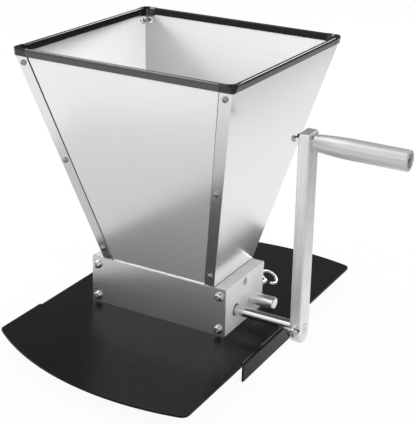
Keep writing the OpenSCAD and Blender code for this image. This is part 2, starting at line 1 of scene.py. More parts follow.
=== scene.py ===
"""Looks of the hand cranked malt mill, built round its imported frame.

Blender works in metres. The mill's own sizes are in mm here, and MM turns them into metres. The camera's
place, the lamps, the floor and the depth of a material's relief are in metres. Angles are written in
degrees.
"""

import json
import math

import bmesh
import bpy
from mathutils import Matrix, Vector


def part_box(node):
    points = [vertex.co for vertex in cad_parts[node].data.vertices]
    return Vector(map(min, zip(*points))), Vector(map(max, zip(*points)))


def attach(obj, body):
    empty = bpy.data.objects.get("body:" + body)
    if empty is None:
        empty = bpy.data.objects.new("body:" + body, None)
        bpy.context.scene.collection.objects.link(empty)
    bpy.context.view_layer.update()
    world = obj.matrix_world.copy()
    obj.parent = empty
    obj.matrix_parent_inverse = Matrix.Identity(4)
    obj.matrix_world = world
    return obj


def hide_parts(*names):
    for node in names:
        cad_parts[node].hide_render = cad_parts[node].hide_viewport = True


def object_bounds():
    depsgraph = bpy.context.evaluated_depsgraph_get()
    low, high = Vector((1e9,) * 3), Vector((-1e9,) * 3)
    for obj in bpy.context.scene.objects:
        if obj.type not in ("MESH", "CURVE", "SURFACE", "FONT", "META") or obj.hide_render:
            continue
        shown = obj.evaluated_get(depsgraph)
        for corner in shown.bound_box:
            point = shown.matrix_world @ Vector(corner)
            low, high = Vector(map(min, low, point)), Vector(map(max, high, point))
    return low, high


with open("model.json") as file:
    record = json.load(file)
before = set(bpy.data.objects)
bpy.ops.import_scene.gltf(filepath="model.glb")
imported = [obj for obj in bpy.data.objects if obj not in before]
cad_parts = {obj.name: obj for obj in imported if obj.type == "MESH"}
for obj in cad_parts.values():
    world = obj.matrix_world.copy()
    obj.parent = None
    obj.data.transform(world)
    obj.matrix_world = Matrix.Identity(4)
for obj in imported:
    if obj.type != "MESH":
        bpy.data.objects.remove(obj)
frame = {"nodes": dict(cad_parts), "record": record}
cad_low, cad_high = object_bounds()
CAD_NODES = frame["nodes"]
BODIES = frame["record"]["behaviour"]["bodies"]
SUBPARTS = frame["record"]["subparts"]
MM = 0.001

# Corners of a CAD mesh that lie within this many metres are one corner
JOIN_WITHIN = 3e-6

# Camera, as fitted to the photograph's edges
CAMERA_AT = (0.5232, -0.9104, 0.5277)
CAMERA_TURN = 28.32
CAMERA_TILT = 68.04
CAMERA_ROLL = 1.92
LENS = 95.31
SENSOR = 36.0

# Roller box and hopper: the hopper's sheets rise from the chamber's edges to a square mouth
CHAMBER_HALF = 64.0
BOX_HALF_D = 40.25
BOX_TOP = 52.5
HOPPER_H = 225.0
MOUTH_HALF = 113.5
SHEET_T = 1.0
FRONT_TILT = math.atan((MOUTH_HALF - BOX_HALF_D) / HOPPER_H)

# Seam strips, where the side sheets wrap round the corners
STRIP_FOOT = 10.0
STRIP_HEAD = 12.2
# Painted shadow beside the strips' edges: its width, its reach under the strip, how squarely the face looks
# out, and its colour
SEAM_GAP = 1.1
SEAM_UNDER = 0.3
SEAM_FACING = 0.5
SEAM_SHADOW_TONE = (0.035, 0.035, 0.035, 1)

# Rim trim, a slotted bar with a low crown and round shoulders
TRIM_W = 4.4
TRIM_H = 7.6
TRIM_OVER = 1.5
TRIM_SLOT_CLEAR = 0.05
TRIM_FOOT_R = 0.4
CROWN_R = 3.6
CROWN_TURN = 10.0
CROWN_SINE = math.sin(math.radians(CROWN_TURN))
SHOULDER_R = (TRIM_W / 2 - CROWN_R * CROWN_SINE) / (1 - CROWN_SINE)

# Rollers with a cut diamond knurl, and their shafts
ROLLER_D = 31.75
ROLLER_BORE_D = 10.04
ROLLER_CHAMFER = 0.6
KNURL_AROUND = 62
KNURL_ALONG = 78
KNURL_DEPTH = 0.55
KNURL_END = 2.0
SHAFT_R = 5.0
SHAFT_CHAMFER = 0.6
CENTRE_R = 1.4
CENTRE_DEPTH = 1.5
CENTRE_TIP_R = 0.5
CENTRE_TIP = 0.1
JOURNAL_R = 4.0
JOURNAL_CHAMFER = 0.5
STEP_FILLET = 0.2
STEP_CHAMFER = 0.4

# Crank and grip: the grip is slim at the arm and full over its outer half
CRANK_LEAN = math.radians(-2.4)
NECK_R = 7.8
NECK_ROUND = 0.7
NECK_LAND = 0.2
NECK_WALL = 0.1
FULL_R = 9.7
FULL_ROUND = 1.3
TAPER_SHARE = 0.42
TAPER_STEPS = 24
RECESS_R = 6.5
RECESS_DEPTH = 5.0
RECESS_ROUND = 0.5
BOLT_D = 6.0
BOLT_HOLE_R = 3.05
BOLT_HEAD_R = 5.1
BOLT_HEAD_T = 3.6
BOLT_HEAD_ROUND = 0.7
BOLT_THREAD_L = 17.0
BOLT_PITCH = 1.0
BOLT_TIP = 0.8
SHANK_INTO_THREAD = 0.2
SHANK_INTO_HEAD = 0.1
SOCKET_R = 2.5
SOCKET_MOUTH_R = 2.6
SOCKET_DEPTH = 2.2

# Threads: depth as a share of the pitch, and rows of points for each turn
THREAD_SHARE = 0.54
THREAD_ROWS = 6
THREAD_INTO_HEAD = 0.05

# Screw heads: the cross recess and the crown's fall, as shares of the head's width or height
CROSS_W = 0.56
CROSS_DEPTH = 0.62
CROSS_ARM = 0.13
CROSS_FOOT = 0.42
CROSS_FLARE = 1.12
CROSS_OVER = 0.6
CROWN_FALL = 0.06
HEAD_EDGE = 0.12

# Nuts: width of the flat face and height of the corners' chamfer, as shares
NUT_FACE = 0.96
NUT_CHAMFER = 0.58
NUT_CLEAR = 0.01

# Grain of the metals, as features per metre along X, Y and Z
SHEET_LINES = (16, 16, 2600)
BLOCK_LINES = (900, 900, 30)
BAR_LINES = (2400, 2400, 14)
TURNED_LINES = (2600, 40, 40)
GRIP_LINES = (14, 2000, 2000)


# Shader nodes


def new_material(name, colour, metallic, rough, **sockets):
    """A Principled material; returns the material, its node tree and its shader."""
    mat = bpy.data.materials.new(name)
    mat.use_nodes = True
    tree = mat.node_tree
    shader = tree.nodes["Principled BSDF"]
    shader.inputs["Base Color"].default_value = (*colour, 1)
    shader.inputs["Metallic"].default_value = metallic
    shader.inputs["Roughness"].default_value = rough
    for key, value in sockets.items():
        shader.inputs[key.replace("_", " ")].default_value = value
    return mat, tree, shader


def emptied(holder):
    """Node tree of a material or world, with its nodes taken out."""
    holder.use_nodes = True
    holder.node_tree.nodes.clear()
    return holder.node_tree


def node(tree, kind, inputs=None, **props):
    """A new shader node with some of its inputs and properties set."""
    made = tree.nodes.new(kind)
    for key, value in props.items():
        setattr(made, key, value)
    for key, value in (inputs or {}).items():
        made.inputs[key].default_value = value
    return made


def maths(tree, operation, first, second=None):
    """Result of a Math node, where first and second are numbers or outputs."""
    made = node(tree, "ShaderNodeMath", operation=operation)
    for socket, value in zip(made.inputs, (first, second)):
        if isinstance(value, (int, float)):
            socket.default_value = value
        elif value is not None:
            tree.links.new(value, socket)
    return made.outputs[0]


def along(tree, vector, direction):
    """How far a vector reaches along a direction."""
    made = node(tree, "ShaderNodeVectorMath", {1: direction}, operation="DOT_PRODUCT")
    tree.links.new(vector, made.inputs[0])
    return made.outputs["Value"]


def separated(tree, vector):
    """X, Y and Z of a vector."""
    made = node(tree, "ShaderNodeSeparateXYZ")
    tree.links.new(vector, made.inputs[0])
    return made.outputs


def spread(tree, value, low, high, start=0.3, end=0.7):
    """Maps a value that runs from start to end, as noise does by default, to low..high."""
    limits = {"From Min": start, "From Max": end, "To Min": low, "To Max": high}
    made = node(tree, "ShaderNodeMapRange", limits)
    tree.links.new(value, made.inputs["Value"])
    return made.outputs["Result"]


def noise_at(tree, scale, stretch=(1, 1, 1), detail=3.0):
    """Noise in the piece's own metres, with scale and stretch as features per metre."""
    place = node(tree, "ShaderNodeTexCoord")
    mapping = node(tree, "ShaderNodeMapping", {"Scale": stretch})
    noise = node(tree, "ShaderNodeTexNoise", {"Scale": scale, "Detail": detail, "Roughness": 0.55})
    tree.links.new(place.outputs["Object"], mapping.inputs["Vector"])
    tree.links.new(mapping.outputs["Vector"], noise.inputs["Vector"])
    return noise.outputs["Fac"]


def broadened(lines, times):
    """The same lines with broader features."""
    return tuple(count / times for count in lines)


def vary_colour(tree, shader, value, colour, dark, light=1.0):
    """Colour of a surface from colour times dark to colour times light, by a value."""
    mix = node(tree, "ShaderNodeMix", data_type="RGBA")
    for socket, share in (("A", dark), ("B", light)):
        mix.inputs[socket].default_value = (*[min(1, part * share) for part in colour], 1)
    tree.links.new(value, mix.inputs["Factor"])
    tree.links.new(mix.outputs["Result"], shader.inputs["Base Color"])


def vary_rough(tree, shader, value, rough, smooth, coarse):
    """Roughness of a surface from rough times smooth to rough times coarse, by a value."""
    tree.links.new(spread(tree, value, rough * smooth, rough * coarse), shader.inputs["Roughness"])


def bump(tree, shader, value, depth, strength, below=None):
    """Relief of the given depth in metres; below is a relief that it lies on."""
    made = node(tree, "ShaderNodeBump", {"Strength": strength, "Distance": depth})
    tree.links.new(value, made.inputs["Height"])
    if below is not None:
        tree.links.new(below.outputs["Normal"], made.inputs["Normal"])
    tree.links.new(made.outputs["Normal"], shader.inputs["Normal"])
    return made


# Materials


def brushed(name, colour, rough, streak, anisotropy, mirror, depth=2e-6, uneven=0.12):
    """Brushed sheet with level lines.

    streak is its change of tone, uneven the lines' change of roughness, and mirror its metallic share."""
    mat, tree, shader = new_material(name, colour, mirror, rough, Anisotropic=anisotropy)
    fine = noise_at(tree, 1.0, SHEET_LINES, detail=4.0)
    broad = noise_at(tree, 1.0, broadened(SHEET_LINES, 6), detail=2.0)
    cloud = noise_at(tree, 9.0, detail=1.5)
    both = maths(tree, "ADD", maths(tree, "MULTIPLY", fine, 0.5), maths(tree, "MULTIPLY", broad, 0.5))
    vary_colour(tree, shader, spread(tree, both, 0, 1), colour, 1 - streak, 1 + streak)
    wide = spread(tree, cloud, rough * 0.9, rough * 1.1)
    narrow = spread(tree, fine, -uneven * rough, uneven * rough)
    tree.links.new(maths(tree, "ADD", wide, narrow), shader.inputs["Roughness"])
    bump(tree, shader, fine, depth, strength=0.6)
    tangent = node(tree, "ShaderNodeTangent", direction_type="UV_MAP", uv_map="across")
    tree.links.new(tangent.outputs["Tangent"], shader.inputs["Tangent"])
    return mat


def satin(name, colour, rough, lines, mirror, uneven, streaky=False):
    """Satin aluminium with a fine grain and machining lines; mirror is its metallic share.

    Its tone changes by the share uneven, in clouds or, where it is streaky, along the lines."""
    mat, tree, shader = new_material(name, colour, mirror, rough)
    cloud = noise_at(tree, 60.0)
    tone = noise_at(tree, 1.0, broadened(lines, 5), detail=2.0) if streaky else cloud
    vary_colour(tree, shader, spread(tree, tone, 0, 1), colour, dark=1 - uneven)
    vary_rough(tree, shader, cloud, rough, smooth=0.88, coarse=1.12)
    grain = bump(tree, shader, noise_at(tree, 1800.0, detail=2.0), depth=6e-6, strength=0.5)
    bump(tree, shader, noise_at(tree, 1.0, lines), depth=6e-6, strength=0.8, below=grain)
    return mat


def polished(name, colour, rough, lines=None, depth=1e-6, mirror=1.0):
    """Bright plated or ground steel, with faint lines where given; mirror is its metallic share."""
    mat, tree, shader = new_material(name, colour, mirror, rough)
    cloud = noise_at(tree, 60.0)
    vary_rough(tree, shader, cloud, rough, smooth=0.75, coarse=1.3)
    vary_colour(tree, shader, spread(tree, cloud, 0, 1), colour, dark=0.95)
    if lines:
        bump(tree, shader, noise_at(tree, 1.0, lines), depth, strength=0.7)
    return mat


def powder_coat(name, colour, rough):
    """Satin powder coat with a faint orange peel."""
    mat, tree, shader = new_material(name, colour, 0.0, rough, Specular_IOR_Level=0.14)
    cloud = noise_at(tree, 14.0, detail=2.0)
    vary_colour(tree, shader, spread(tree, cloud, 0, 1), colour, dark=0.85, light=1.15)
    vary_rough(tree, shader, cloud, rough, smooth=0.93, coarse=1.07)
    peel = bump(tree, shader, noise_at(tree, 620.0, detail=1.0), depth=2.2e-5, strength=0.35)
    bump(tree, shader, noise_at(tree, 3600.0, detail=1.0), depth=6e-6, strength=0.3, below=peel)
    return mat


def moulded(name, colour, rough, specular, coat):
    """Black moulding with slight flow marks."""
    gloss = {"Specular_IOR_Level": specular, "Coat_Weight": coat, "Coat_Roughness": 0.08}
    mat, tree, shader = new_material(name, colour, 0.0, rough, **gloss)
    flow = noise_at(tree, 130.0, (1, 1, 3), detail=2.0)
    vary_rough(tree, shader, flow, rough, smooth=0.8, coarse=1.25)
    vary_colour(tree, shader, spread(tree, flow, 0, 1), colour, dark=0.8, light=1.2)
    marks = bump(tree, shader, flow, depth=1.2e-5, strength=0.2)
    bump(tree, shader, noise_at(tree, 2400.0, detail=1.0), depth=2e-6, strength=0.25, below=marks)
    return mat


def bare_steel(name, colour, rough):
    """Bare cut steel of the rollers: uneven tone with a trace of oil."""
    mat, tree, shader = new_material(name, colour, 1.0, rough)
    cloud = noise_at(tree, 90.0, detail=4.0)
    vary_colour(tree, shader, spread(tree, cloud, 0, 1), colour, dark=0.72, light=1.15)
    vary_rough(tree, shader, cloud, rough, smooth=0.75, coarse=1.25)
    bump(tree, shader, noise_at(tree, 1500.0, detail=2.0), depth=8e-6, strength=0.4)
    return mat


def sintered(name, colour, rough):
    """Sintered bronze, with open pores."""
    mat, tree, shader = new_material(name, colour, 1.0, rough)
    pores = noise_at(tree, 2600.0, detail=2.0)
    vary_colour(tree, shader, spread(tree, pores, 0, 1, start=0.38, end=0.5), colour, dark=0.45)
    bump(tree, shader, pores, depth=2e-5, strength=0.6)
    return mat


def seam_shadow(mat):
    """Paints shadow into the narrow gap along the seam strips on the outer face of the front and back
    sheets.
    """
    tree = mat.node_tree
    shader = tree.nodes["Principled BSDF"]
    place = node(tree, "ShaderNodeTexCoord")
    at = separated(tree, place.outputs["Object"])
    facing = separated(tree, place.outputs["Normal"])
    rise = ((MOUTH_HALF - STRIP_HEAD) - (CHAMBER_HALF - STRIP_FOOT)) / HOPPER_H
    edge_at_zero = (CHAMBER_HALF - STRIP_FOOT - rise * BOX_TOP) * MM
    strip_edge = maths(tree, "ADD", maths(tree, "MULTIPLY", at["Z"], rise), edge_at_zero)
    inside = maths(tree, "SUBTRACT", strip_edge, maths(tree, "ABSOLUTE", at["X"]))
    outward = maths(tree, "MULTIPLY", maths(tree, "SIGN", at["Y"]), facing["Y"])
    dark = maths(tree, "GREATER_THAN", inside, -SEAM_UNDER * MM)
    for test in (
        maths(tree, "LESS_THAN", inside, SEAM_GAP * MM),
        maths(tree, "GREATER_THAN", outward, SEAM_FACING),
        maths(tree, "GREATER_THAN", at["Z"], BOX_TOP * MM),
    ):
        dark = maths(tree, "MULTIPLY", dark, test)
    mix = node(tree, "ShaderNodeMix", data_type="RGBA")
    mix.inputs["B"].default_value = SEAM_SHADOW_TONE
    tree.links.new(dark, mix.inputs["Factor"])
    tree.links.new(shader.inputs["Base Color"].links[0].from_socket, mix.inputs["A"])
    tree.links.new(mix.outputs["Result"], shader.inputs["Base Color"])
    return mat


# The record's material slots
MATERIALS = {
    "board_black": powder_coat("board_black", (0.0065, 0.0065, 0.007), 0.27),
    "hopper_steel": brushed(
        "hopper_steel", (0.81, 0.81, 0.805), 0.22, streak=0.012, anisotropy=0.4, mirror=0.92
    ),
    "plate_steel": brushed(
        "plate_steel",
        (0.86, 0.87, 0.895),
        0.28,
        streak=0.012,
        anisotropy=0.45,
        mirror=0.98,
        depth=6e-8,
        uneven=0.03,
    ),
    "block_aluminium": satin(
        "block_aluminium", (0.95, 0.95, 0.95), 0.42, BLOCK_LINES, mirror=0.15, uneven=0.08
    ),
    "arm_aluminium": satin(
        "arm_aluminium", (0.9, 0.9, 0.902), 0.38, BAR_LINES, mirror=0.75, uneven=0.16, streaky=True
    ),
    "grip_aluminium": satin(
        "grip_aluminium", (0.64, 0.64, 0.642), 0.34, GRIP_LINES, mirror=0.4, uneven=0.18, streaky=True
    ),
    "shaft_steel": polished("shaft_steel", (0.74, 0.71, 0.68), 0.14, TURNED_LINES),
    "roller_steel": bare_steel("roller_steel", (0.5, 0.5, 0.51), 0.34),
    "adjuster_steel": polished(
        "adjuster_steel", (0.84, 0.84, 0.86), 0.2, TURNED_LINES, depth=2e-6, mirror=0.8
    ),
    "ring_chrome": polished("ring_chrome", (0.86, 0.86, 0.87), 0.1),
    "screw_chrome": polished("screw_chrome", (0.78, 0.78, 0.8), 0.1),
    "dark_screw": polished("dark_screw", (0.09, 0.09, 0.1), 0.3),
    # Bushes far darker than bronze: painted shade in the recess round the drive shaft
    "bush_bronze": sintered("bush_bronze", (0.1, 0.07, 0.04), 0.4),
    "trim_black": moulded("trim_black", (0.012, 0.012, 0.0125), 0.1, specular=0.8, coat=0.4),
}

# Lighter and darker copies of slot materials for single pieces, in place of their slot's own: they paint
# light and shade on those pieces
# Darker, less glossy copies of the trim black for the right and back trims and the corner caps: painted
# shade on them
MILD_SHADED_BLACK = moulded("trim_black_mild_shaded", (0.006, 0.006, 0.0065), 0.12, specular=0.45, coat=0.2)
DULL_SHADED_BLACK = moulded("trim_black_dull_shaded", (0.005, 0.005, 0.0055), 0.16, specular=0.2, coat=0.0)
# Darker copy of the screw chrome for the seam screws: painted shade on their heads
SHADED_CHROME = polished("seam_screw_chrome_shaded", (0.42, 0.42, 0.43), 0.12)
# Lighter, less mirror-like copy of the hopper steel for the front and back sheets: painted light on them,
# with the painted seam shadow added
HAZY_LIT_STEEL = seam_shadow(
    brushed("hopper_steel_hazy_lit", (0.87, 0.87, 0.865), 0.22, streak=0.015, anisotropy=0.35, mirror=0.6)
)


# Pieces and the nodes that they stand for


def new_object(name, data):
    """An object with a mesh, camera or lamp, linked to the scene."""
    made = bpy.data.objects.new(name, data)
    bpy.context.scene.collection.objects.link(made)
    return made


def clean_mesh(name, work):
    """A plain mesh from a bmesh, with no layers carried over; the bmesh is freed."""
    work.verts.index_update()
    mesh = bpy.data.meshes.new(name)
    mesh.from_pydata([v.co[:] for v in work.verts], [], [[v.index for v in f.verts] for f in work.faces])
    work.free()
    mesh.validate()
    return mesh


def shape_of(node_name, work):
    """The object of the piece that stands for a CAD node, from a bmesh."""
    name = node_name + "_shape"
    return new_object(name, clean_mesh(name, work))


def lay_uv(mesh, lines):
    """UV map whose U runs across the brush lines, which are level, turned round X or upright."""
    layer = mesh.uv_layers.new(name="across")
    for face in mesh.polygons:
        n = face.normal
        for loop in face.loop_indices:
            x, y, z = mesh.vertices[mesh.loops[loop].vertex_index].co
            if lines == "turned":
                layer.data[loop].uv = (x, z + y)
            elif lines == "upright":
                layer.data[loop].uv = (y if abs(n.x) > abs(n.y) else x, z)
            elif abs(n.z) > 0.8:
                layer.data[loop].uv = (y, x)
            else:
                layer.data[loop].uv = (z, x if abs(n.y) > abs(n.x) else y)


def shade(obj, angle):
    """Smooth shading that stays crisp at edges sharper than angle."""
    mesh = obj.data
    mesh.polygons.foreach_set("use_smooth", [True] * len(mesh.polygons))
    mesh.set_sharp_from_angle(angle=math.radians(angle))
    weight = obj.modifiers.new("normals", "WEIGHTED_NORMAL")
    weight.keep_sharp = True
    weight.weight = 60


def stand_for(obj, node_name, lines="level", angle=28, painted_light_copy=None):
    """Finishes a piece and puts it in a CAD node's place, on the body that the node rides on."""
    slot = next(part["material_slot"] for part in SUBPARTS if part["node"] == node_name)
    # A lighter or darker copy of the slot's material, where given, takes its place and paints light or shade
    # on the piece
    obj.data.materials.append(painted_light_copy or MATERIALS[slot])
    lay_uv(obj.data, lines)
    shade(obj, angle)
    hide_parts(node_name)
    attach(obj, next(body for body, names in BODIES.items() if node_name in names))


def round_edges(obj, width, segments, sharp):
    """Rounds the edges of a piece that are sharper than an angle."""
    edge = obj.modifiers.new("edge", "BEVEL")
    edge.width = width * MM
    edge.segments = segments
    edge.limit_method = "ANGLE"
    edge.angle_limit = math.radians(sharp)
    edge.miter_outer = "MITER_ARC"
    rounded = bpy.data.meshes.new_from_object(obj.evaluated_get(bpy.context.evaluated_depsgraph_get()))
    obj.modifiers.clear()
    obj.data = rounded


def dress(node_name, edge, segments=2, sharp=30, lines="level", painted_light_copy=None):
    """A piece in a CAD node's shape, with its corners joined, its faces made whole and its edges round."""
    work = bmesh.new()
    work.from_mesh(CAD_NODES[node_name].data)
    bmesh.ops.remove_doubles(work, verts=work.verts, dist=JOIN_WITHIN)
    bmesh.ops.dissolve_limit(work, angle_limit=math.radians(0.6), verts=work.verts, edges=work.edges)
    work.normal_update()
    obj = shape_of(node_name, work)
    round_edges(obj, edge, segments, sharp)
    stand_for(obj, node_name, lines, painted_light_copy=painted_light_copy)


# Mesh helpers


def full_turn(steps, offset=0.0):
    """Evenly spaced angles of a full turn, the first at a share of a step."""
    return [2 * math.pi * (i + offset) / steps for i in range(steps)]


def polar(r, turn, z):
    """Point at a radius, an angle and a height about Z, from mm."""
    return (r * MM * math.cos(turn), r * MM * math.sin(turn), z * MM)


def arc_points(x, y, radius, start, end, steps):
    """Points of an arc about x, y, from angle start to end."""
    turns = [math.radians(start + (end - start) * i / steps) for i in range(steps + 1)]
    return [(x + radius * math.cos(turn), y + radius * math.sin(turn)) for turn in turns]


def bridge(work, first, second):
    """Faces between two rings of as many points."""
    for i in range(len(first)):
        j = (i + 1) % len(first)
        work.faces.new((first[i], first[j], second[j], second[i]))


def bridge_all(work, rings):
    """Faces between each ring and the next."""
    for first, second in zip(rings, rings[1:]):
        bridge(work, first, second)


def capped(work, rings):
    """A closed solid along rings of as many points."""
    bridge_all(work, rings)
    work.faces.new(rings[0][::-1])
    work.faces.new(rings[-1])
    return work


def lathe(profile, steps):
    """A bmesh turned about Z from points of radius and height, closed where the radius is 0."""
    work = bmesh.new()
    rings = []
    for r, z in profile:
        turns = full_turn(steps) if r > 0 else [0]
        rings.append([work.verts.new(polar(r, turn, z)) for turn in turns])
    for low, high in zip(rings, rings[1:]):
        for i in range(steps):
            j = (i + 1) % steps
            corners = [low[i % len(low)], low[j % len(low)], high[j % len(high)], high[i % len(high)]]
            kept = list(dict.fromkeys(corners))
            if len(kept) > 2:
                work.faces.new(kept)
    return work


def mirrored(end, length):
    """Profile of a turned piece that has the same shape at both ends."""
    return end + [(r, length - z) for r, z in reversed(end)]


def threaded(d, length, pitch, chamfer=0.5, steps=28):
    """A bmesh of a threaded rod that rises from 0 along Z, with a chamfered tip there."""
    work = bmesh.new()
    count = round(length / pitch * THREAD_ROWS)
    rings = []
    for k in range(count + 1):
        z = length * k / count
        ring = []
        for i, turn in enumerate(full_turn(steps)):
            phase = (z / pitch - i / steps) % 1
            r = d / 2 - THREAD_SHARE * pitch * (1 - abs(2 * phase - 1))
            ring.append(work.verts.new(polar(min(r, d / 2 - chamfer + z), turn, z)))
        rings.append(ring)
    return capped(work, rings)


def add_to(work, other, matrix=None):
    """Adds a copy of another bmesh, moved by a matrix."""
    mesh = bpy.data.meshes.new("part")
    other.to_mesh(mesh)
    if matrix is not None:
        mesh.transform(matrix)
    work.from_mesh(mesh)
    bpy.data.meshes.remove(mesh)


def cut(body, tool, operation="DIFFERENCE"):
    """Boolean of two bmeshes, as a new bmesh; both are freed."""
    objects = []
    for label, work in (("cut_body", body), ("cut_tool", tool)):
        bmesh.ops.recalc_face_normals(work, faces=work.faces)
        mesh = bpy.data.meshes.new(label)
        work.to_mesh(mesh)
        work.free()
        objects.append(new_object(label, mesh))
    made = objects[0].modifiers.new("cut", "BOOLEAN")
    made.operation = operation
    made.solver = "EXACT"
    made.object = objects[1]
    shown = objects[0].evaluated_get(bpy.context.evaluated_depsgraph_get())
    result = bmesh.new()
    result.from_mesh(bpy.data.meshes.new_from_object(shown))
    for obj in objects:
        bpy.data.objects.remove(obj)
    return result


# Screws and nuts


def cross_cutter(size, depth, top):
    """Tapered cross that cuts a screw head's recess: size is its width and top the head's height."""
    work = bmesh.new()
    rings = []
    for share, z in ((CROSS_FLARE, top + CROSS_OVER), (1.0, top), (CROSS_FOOT, top - depth)):
        # The arms' width tapers less than their reach
        arm = size * CROSS_ARM * (0.7 + 0.3 * share)
        reach = size / 2 * share
        plan = [(reach, -arm), (reach, arm), (arm, arm)]
        for _ in range(3):
            plan += [(-y, x) for x, y in plan[-3:]]
        rings.append([work.verts.new((x * MM, y * MM, z * MM)) for x, y in plan])
    return capped(work, rings)


def pan_head(d, t, rim):
    """Pan head about Z with its seat at 0: rounded rim, crowned top and a tapered cross recess.

    rim is the rounded share of its height."""
    r = d / 2
    rim_r = rim * t
    fall = CROWN_FALL * t
    crown = [((r - rim_r) * k / 5, t - fall * (k / 5) ** 2) for k in range(5)]
    side = arc_points(r - rim_r, t - fall - rim_r, rim_r, 90, 0, 9)
    seat = [(r, HEAD_EDGE), (r - HEAD_EDGE, 0), (0, 0)]
    return cut(lathe(crown + side + seat, steps=56), cross_cutter(CROSS_W * d, CROSS_DEPTH * t, t))


def screw_maker(head_d, head_t, d, pitch, rim=0.62):
    """Returns a function that builds a pan head screw of a length, with its tip at 0."""
    head = pan_head(head_d, head_t, rim)

    def build(length):
        shank = length - head_t
        work = bmesh.new()
        rod = threaded(d, shank + THREAD_INTO_HEAD, pitch)
        add_to(work, rod)
        rod.free()
        add_to(work, head, Matrix.Translation((0, 0, shank * MM)))
        return work

    return build


def hex_nut(across, t, bore):
    """Hexagon nut about Z from 0 to t, with chamfered corners and a bore."""
    corner_r = across / 2 / math.cos(math.radians(30))
    face_r = across / 2 * NUT_FACE
    drop = (corner_r - face_r) * NUT_CHAMFER
    hexagon = bmesh.new()
    capped(hexagon, [[hexagon.verts.new(polar(corner_r, turn, z)) for turn in full_turn(6)] for z in (0, t)])
    limit = mirrored([(0, -NUT_CLEAR), (face_r, -NUT_CLEAR), (corner_r + 2 * NUT_CLEAR, drop)], t)
    hole = [(0, -1), (bore / 2, -1), (bore / 2, t + 1), (0, t + 1)]
    return cut(cut(hexagon, lathe(limit, steps=72), "INTERSECT"), lathe(hole, steps=40))


def islands(node_name):
    """The separate solids of a CAD node, each as a list of its points."""
    work = bmesh.new()
    work.from_mesh(CAD_NODES[node_name].data)
    bmesh.ops.remove_doubles(work, verts=work.verts, dist=JOIN_WITHIN)
    seen, found = set(), []
    for start in work.verts:
        if start in seen:
            continue
        group, stack = [], [start]
        seen.add(start)
        while stack:
            vertex = stack.pop()
            group.append(vertex.co.copy())
            for edge in vertex.link_edges:
                other = edge.other_vert(vertex)
                if other not in seen:
                    seen.add(other)
                    stack.append(other)
        found.append(group)
    work.free()
    return found


def frame_on(points, axis):
    """Matrix whose Z is axis, through the middle of the points, with its origin at their lowest along it."""
    side = Vector((0, 0, 1)).cross(axis)
    side = side.normalized() if side.length > 0.1 else Vector((1, 0, 0))
    other = axis.cross(side)
    low = min(p.dot(axis) for p in points)
    u = [p.dot(side) for p in points]
    v = [p.dot(other) for p in points]
    at = axis * low + side * (min(u) + max(u)) / 2 + other * (min(v) + max(v)) / 2
    turn = Matrix((side, other, axis)).transposed().to_4x4()
    return Matrix.Translation(at) @ turn


def repeated(node_name, build, axis_of, spin=17, painted_light_copy=None):
    """One piece for a CAD node of like solids: build(length) is set on each along axis_of(its points).

    spin is how far the first is turned; each next one is turned by twice that more."""
    work = bmesh.new()
    for k, points in enumerate(islands(node_name)):
        axis = Vector(axis_of(points)).normalized()
        reach = [p.dot(axis) for p in points]
        part = build((max(reach) - min(reach)) / MM)
        turn = Matrix.Rotation(math.radians(spin * (2 * k + 1)), 4, "Z")
        add_to(work, part, frame_on(points, axis) @ turn)
        part.free()
    stand_for(shape_of(node_name, work), node_name, painted_light_copy=painted_light_copy)


def out_of_sheet(points):
    """Outward axis of a screw on the front or back sheet."""
    side = -1 if sum(p.y for p in points) < 0 else 1
    return (0, side * math.cos(FRONT_TILT), -math.sin(FRONT_TILT))


# Sheets, blocks, board and mouldings
dress("base_board", 0.55, segments=4)
for side in ("right", "left"):
    dress(f"end_block_{side}", 0.45, segments=3)
    dress(f"hopper_{side}", 0.16)
    dress(f"adjuster_{side}", 0.3, segments=3, lines="turned")
    dress(f"drive_bush_{side}", 0.2, lines="turned")
    dress(f"ring_screw_{side}", 0.45, segments=4, sharp=50)
for side in ("front", "back"):
    dress(f"{side}_plate", 0.22)
    dress(f"hopper_{side}", 0.16, painted_light_copy=HAZY_LIT_STEEL)
dress("rim_corner_caps", 0.5, segments=4, sharp=40, painted_light_copy=MILD_SHADED_BLACK)
dress("crank_arm", 0.4, segments=3, sharp=25, lines="upright")

# Screws, nuts and washer
plate_screw = screw_maker(head_d=9.0, head_t=3.4, d=5.0, pitch=0.8)
seam_screw = screw_maker(head_d=5.8, head_t=2.2, d=3.0, pitch=0.5)
set_screw = screw_maker(head_d=12.0, head_t=5.5, d=6.0, pitch=1.0, rim=0.45)
ARM_FRONT = (0, -math.cos(CRANK_LEAN), -math.sin(CRANK_LEAN))
repeated("seam_screws", seam_screw, out_of_sheet, painted_light_copy=SHADED_CHROME)
repeated("front_plate_screws", plate_screw, lambda points: (0, -1, 0))
repeated("back_plate_screws", plate_screw, lambda points: (0, 1, 0))
repeated("seam_nuts", lambda length: hex_nut(5.5, 2.4, 3.1), out_of_sheet, spin=30)
repeated("hopper_side_nuts", lambda length: hex_nut(7.0, 3.2, 4.1), lambda points: (1, 0, 0), spin=30)
repeated("crank_set_screw", set_screw, lambda points: ARM_FRONT, spin=20)
repeated("grip_nut", lambda length: hex_nut(10.0, 5.0, 6.04), lambda points: (1, 0, 0), spin=30)
dress("grip_washer", 0.15, lines="turned")
dress("hopper_side_screws", 0.25, lines="turned")
dress("board_screws", 0.15)


# Rim trim


